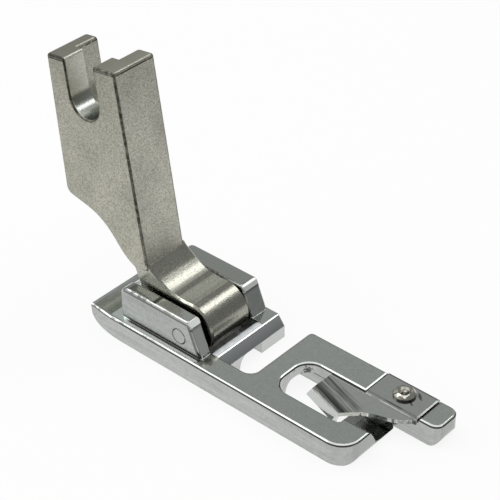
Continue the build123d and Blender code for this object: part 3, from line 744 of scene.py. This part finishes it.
# painted light: a lighter copy of the casting on the front face
lit_front_cast = blend_colours(tree, fleck, FRONT_DARK, FRONT_LIGHT)
cast = blend_colours(tree, fade(tree, face["Y"], -0.8, -0.95), cast, lit_front_cast)
cloud = centred(tree, noise(tree, place, 260, Detail=2.0))
cast = scaled(tree, cast, maths(tree, "MULTIPLY_ADD", cloud, CLOUDINESS, 1.0))
print("material", material.name, "has its skin")

# %% [markdown]
# Along the shank's corners a painted shade darkens the plating, most of all near the top. A corner
# is where the normal points partly sideways and partly not: the product of both shares peaks there,
# so the mesh needs no edge list. A thin dark line of painted shade also runs just under the top. The
# shank leans back by seven degrees, so a Vector Rotate stands it upright for anything that is
# measured along it.

# %% shank painted edge shade
LEAN = math.radians(7)
SLOT_MIDDLE, SHANK_TOP, EDGE_SHADE = (0, 18.305, 25.611), 4.3, (0.06, 0.057, 0.045)

upright = node(tree, "ShaderNodeVectorRotate", {"Vector": in_mm, "Center": SLOT_MIDDLE, "Angle": LEAN},
               rotation_type="X_AXIS").outputs[0]
along = axes(tree, vector(tree, "SUBTRACT", upright, SLOT_MIDDLE))
sideways = maths(tree, "ABSOLUTE", face["X"])
around = maths(tree, "SUBTRACT", 1.0, product(tree, sideways, sideways))
around = maths(tree, "SQRT", maths(tree, "MAXIMUM", around, 0.0))
blotch = noise(tree, place, 1300, Detail=2.0)
# painted shade along the corners and under the top
shaded = product(tree, fade(tree, product(tree, sideways, around), 0.1, 0.4),
                stretch(tree, blotch, 0.35, 0.6, 0.55, 1.0))
under_top = product(tree, band(tree, along["Z"], SHANK_TOP - 0.4, SHANK_TOP - 0.32, 0.07),
                    fade(tree, face["Z"], 0.6, 0.4), fade(tree, blotch, 0.2, 0.6))
near_top = fade(tree, along["Z"], SHANK_TOP - 1.4, SHANK_TOP)
shaded = product(tree, either(tree, shaded, under_top), maths(tree, "MULTIPLY_ADD", near_top, 0.2, 1.0))
cast = blend_colours(tree, maths(tree, "MINIMUM", shaded, 1.0), cast, EDGE_SHADE)
print("edges burnt below", SHANK_TOP, "mm over the slot's middle")

# %% [markdown]
# The screw slot was milled through the casting. Its walls are pale, partly from their milled finish
# and partly painted light that stands in for light reaching into the slot, and its round seat is
# bright steel. Both are found by their place inside the slot. Below the shoulder the shank was ground
# to the knuckle's round, so there the same piece is bright steel too. One material holds all of it:
# bright is the mask that parts steel from casting.

# %% shank slot and ground foot
SLOT_HALF, SLOT_FOOT, SHOULDER = 2.2, -2.2, 8.65
WALL_DARK, WALL_LIGHT = (0.7, 0.69, 0.62), (0.87, 0.86, 0.79)

in_slot = product(tree, fade(tree, maths(tree, "ABSOLUTE", along["Y"]), SLOT_HALF, SLOT_HALF - 0.1),
                  fade(tree, along["Z"], SLOT_FOOT, SLOT_FOOT + 0.1), fade(tree, sideways, 0.5, 0.3))
seat = fade(tree, along["Z"], 0.4, -0.5)
walls = product(tree, in_slot, maths(tree, "SUBTRACT", 1.0, seat))
# the walls' pale tint: partly milled finish, partly painted light
cast = blend_colours(tree, walls, cast, blend_colours(tree, fleck, WALL_DARK, WALL_LIGHT))
milled = product(tree, in_slot, seat)
ground = fade(tree, at["Z"], SHOULDER + 0.1, SHOULDER - 0.1)
bright = either(tree, ground, milled)
print("slot and shoulder at", SHOULDER, "mm parted")

# %% [markdown]
# The knuckle's ground round mirrors the room in stripes across it: two darker dips, a brighter strip
# between them and a darker foot. These stripes are painted reflections. They are bands of Y, because
# the round runs from front to rear, and each makes the steel lighter or darker by a share.

# %% shank steel
STEEL_DARK, STEEL_LIGHT, MILLED = (0.35, 0.348, 0.3), (0.47, 0.467, 0.41), (0.42, 0.435, 0.41)
STRIPE_GAIN, DIP_LOSS, FOOT_LOSS = 0.2, -0.4, -0.15

steel = blend_colours(tree, fleck, STEEL_DARK, STEEL_LIGHT)
# painted reflections: darker dips, a brighter strip and a darker foot on the knuckle
dips = either(tree, band(tree, at["Y"], 6.65, 7.05, 0.25), band(tree, at["Y"], 3.85, 4.25, 0.25))
dips = product(tree, dips, fade(tree, face["Z"], 0.7, 0.85))
stripe_tones = maths(tree, "MULTIPLY_ADD", band(tree, at["Y"], 5.2, 6.1, 0.4), STRIPE_GAIN, 1.0)
stripe_tones = maths(tree, "MULTIPLY_ADD", dips, DIP_LOSS, stripe_tones)
stripe_tones = maths(tree, "MULTIPLY_ADD", fade(tree, at["Z"], 6.0, 5.6), FOOT_LOSS, stripe_tones)
steel = blend_colours(tree, milled, scaled(tree, steel, stripe_tones), MILLED)
print("knuckle drawn")

# %% [markdown]
# The knuckle's normals lean a little as well, steeper at the shoulder and flatter in front, so that
# its highlights sit where a hand-ground round has them. The slot's seat and the knuckle's left corner
# lean too. The lean is given in the shank's own axes and turned into the world's by a Vector
# Transform, so that it stays right when the shank tips. Casting is rough, steel is smoother, and the
# pits of the casting give the bump.

# %% shank shader
STEEPER, FLATTER, SEAT_LEAN, CORNER_LEAN = -0.17, 0.08, 0.24, 0.17
CAST_ROUGH, STEEL_ROUGH, PIT_STRENGTH, PIT_DEPTH = 0.4, 0.21, 0.3, 0.04

corner = product(tree, band(tree, face["X"], -0.85, -0.5, 0.1), ground, fade(tree, blotch, 0.3, 0.5))
lean = maths(tree, "ADD", product(tree, fade(tree, at["Y"], 8.9, 9.4), STEEPER),
             product(tree, band(tree, at["Y"], 2.7, 3.9, 0.2), FLATTER))
lean = product(tree, ground, fade(tree, face["Y"], -0.1, -0.25), lean)
lean = maths(tree, "MULTIPLY_ADD", milled, SEAT_LEAN, lean)
lean = node(tree, "ShaderNodeCombineXYZ", {"X": product(tree, corner, CORNER_LEAN), "Y": lean}).outputs[0]
lean = node(tree, "ShaderNodeVectorTransform", {0: lean}, vector_type="VECTOR", convert_from="OBJECT",
            convert_to="WORLD").outputs[0]
plain = node(tree, "ShaderNodeNewGeometry").outputs["Normal"]
shank_normal = vector(tree, "NORMALIZE", vector(tree, "ADD", plain, lean))
dull = stretch(tree, bright, 0, 1, CAST_ROUGH, STEEL_ROUGH)
tint = blend_colours(tree, bright, cast, steel)
finish_metal(tree, satin, tint, dull, shank_normal, pitted, PIT_STRENGTH, PIT_DEPTH)
dress("shank", material)
